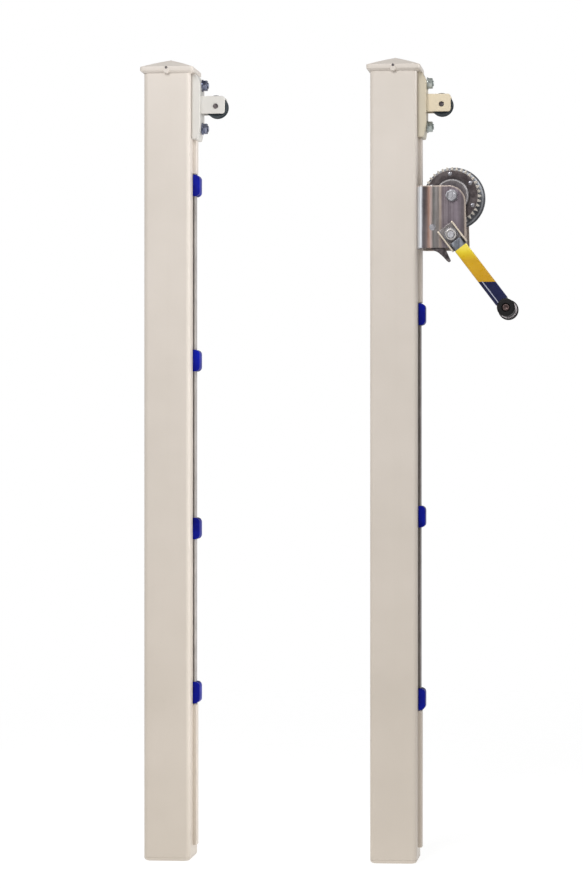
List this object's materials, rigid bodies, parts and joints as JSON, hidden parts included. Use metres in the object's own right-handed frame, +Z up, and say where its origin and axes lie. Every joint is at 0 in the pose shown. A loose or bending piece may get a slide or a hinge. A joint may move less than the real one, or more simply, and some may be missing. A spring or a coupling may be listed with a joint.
{
  "type": "tennis net post",
  "caption": "Pair of square steel tennis net posts with pyramid caps, head pulleys and sliding net hooks, one with a geared cable winch.",
  "frame": {"origin": "centre of the winch post's flat foot", "axes": "+Z up along the post, +X towards the side that carries the hooks, pulley and winch, -Y towards the crank"},
  "size_m": [0.6466, 0.1868, 1.372],
  "materials": {
    "post_paint": "satin warm off-white powder coat",
    "bracket_paint": "satin warm off-white powder coat",
    "rail_dark": "dark brown-black satin",
    "hook_blue": "royal blue moulded plastic",
    "foot_plastic": "matt moulded plastic",
    "pulley_grey": "dark grey nylon",
    "zinc": "bright zinc plate",
    "dark_zinc": "dark, oily zinc plate",
    "wrap_yellow": "yellow vinyl",
    "wrap_navy": "navy vinyl",
    "grip_black": "black moulded grip",
    "bolt_brown": "dull brownish steel"
  },
  "bodies": {
    "posts": {"winch_post_tube": "post_paint", "winch_post_foot_plug": "foot_plastic", "winch_post_cap": "post_paint", "winch_post_cap_screw": "dark_zinc", "winch_post_head_bracket": "bracket_paint", "winch_post_bracket_bolt_upper": "zinc", "winch_post_bracket_bolt_lower": "zinc", "winch_post_pulley_axle": "dark_zinc", "winch_post_hook_rail": "rail_dark", "winch_post_upper_strip": "post_paint", "winch_post_middle_strip": "post_paint", "winch_post_lower_strip": "post_paint", "winch_frame": "zinc", "winch_frame_bolt_upper": "zinc", "winch_frame_bolt_lower": "zinc", "winch_drum_bush": "zinc", "winch_drum_shaft": "zinc", "winch_drum_shaft_nut": "zinc", "winch_pawl_pin": "zinc", "winch_pawl_washer": "zinc", "plain_post_tube": "post_paint", "plain_post_foot_plug": "foot_plastic", "plain_post_cap": "post_paint", "plain_post_cap_screw": "dark_zinc", "plain_post_head_bracket": "bracket_paint", "plain_post_bracket_bolt_upper": "zinc", "plain_post_bracket_bolt_lower": "zinc", "plain_post_pulley_axle": "dark_zinc", "plain_post_hook_rail": "rail_dark", "plain_post_upper_strip": "post_paint", "plain_post_lower_strip": "post_paint"},
    "drum": {"winch_main_gear": "dark_zinc", "winch_drum_core": "dark_zinc", "winch_drum_flange": "zinc"},
    "crank": {"winch_pinion": "dark_zinc", "winch_ratchet_wheel": "dark_zinc", "winch_crank_shaft": "zinc", "winch_crank_spacer": "zinc", "winch_crank_shaft_clip": "zinc", "winch_crank_socket": "zinc", "winch_crank_arm": "zinc", "winch_crank_wrap_upper": "wrap_yellow", "winch_crank_wrap_lower": "wrap_navy", "winch_crank_washer": "zinc", "winch_crank_nut": "zinc", "winch_grip_bolt": "bolt_brown", "winch_grip_nut": "zinc"},
    "grip": {"winch_grip": "grip_black"},
    "pawl": {"winch_pawl": "dark_zinc"},
    "winch_post_pulley": {"winch_post_head_pulley": "pulley_grey"},
    "plain_post_pulley": {"plain_post_head_pulley": "pulley_grey"},
    "winch_post_hook_1": {"winch_post_net_hook_1": "hook_blue"},
    "winch_post_hook_2": {"winch_post_net_hook_2": "hook_blue"},
    "winch_post_hook_3": {"winch_post_net_hook_3": "hook_blue"},
    "plain_post_hook_1": {"plain_post_net_hook_1": "hook_blue"},
    "plain_post_hook_2": {"plain_post_net_hook_2": "hook_blue"},
    "plain_post_hook_3": {"plain_post_net_hook_3": "hook_blue"},
    "plain_post_hook_4": {"plain_post_net_hook_4": "hook_blue"}
  },
  "joints": [
    {"name": "drum_spin", "type": "hinge", "parent": "posts", "child": "drum", "pos_m": [0.099, 0, 1.1325], "axis": [0, 1, 0], "continuous": true},
    {"name": "crank_spin", "type": "hinge", "parent": "posts", "child": "crank", "pos_m": [0.099, 0, 1.0649], "axis": [0, 1, 0], "continuous": true},
    {"name": "grip_spin", "type": "hinge", "parent": "crank", "child": "grip", "pos_m": [0.19596, 0, 0.93762], "axis": [0, 1, 0], "continuous": true},
    {"name": "pawl_swing", "type": "hinge", "parent": "posts", "child": "pawl", "pos_m": [0.0665, 0, 1.079], "axis": [0, 1, 0], "range_deg": [-7.5, 15]},
    {"name": "winch_post_pulley_spin", "type": "hinge", "parent": "posts", "child": "winch_post_pulley", "pos_m": [0.08, 0, 1.2905], "axis": [0, 1, 0], "continuous": true},
    {"name": "plain_post_pulley_spin", "type": "hinge", "parent": "posts", "child": "plain_post_pulley", "pos_m": [-0.308, 0, 1.2905], "axis": [0, 1, 0], "continuous": true},
    {"name": "winch_post_hook_1_slide", "type": "slide", "parent": "posts", "child": "winch_post_hook_1", "axis": [0, 0, 1], "range_m": [-0.153, 0.001]},
    {"name": "winch_post_hook_2_slide", "type": "slide", "parent": "posts", "child": "winch_post_hook_2", "axis": [0, 0, 1], "range_m": [-0.136, 0.153]},
    {"name": "winch_post_hook_3_slide", "type": "slide", "parent": "posts", "child": "winch_post_hook_3", "axis": [0, 0, 1], "range_m": [-0.001, 0.136]},
    {"name": "plain_post_hook_1_slide", "type": "slide", "parent": "posts", "child": "plain_post_hook_1", "axis": [0, 0, 1], "range_m": [-0.131, 0.0015]},
    {"name": "plain_post_hook_2_slide", "type": "slide", "parent": "posts", "child": "plain_post_hook_2", "axis": [0, 0, 1], "range_m": [-0.125, 0.131]},
    {"name": "plain_post_hook_3_slide", "type": "slide", "parent": "posts", "child": "plain_post_hook_3", "axis": [0, 0, 1], "range_m": [-0.1215, 0.125]},
    {"name": "plain_post_hook_4_slide", "type": "slide", "parent": "posts", "child": "plain_post_hook_4", "axis": [0, 0, 1], "range_m": [-0.0015, 0.1215]}
  ],
  "couplings": [
    {"joint": "crank_spin", "follows": "drum_spin", "ratio": -2.25}
  ]
}
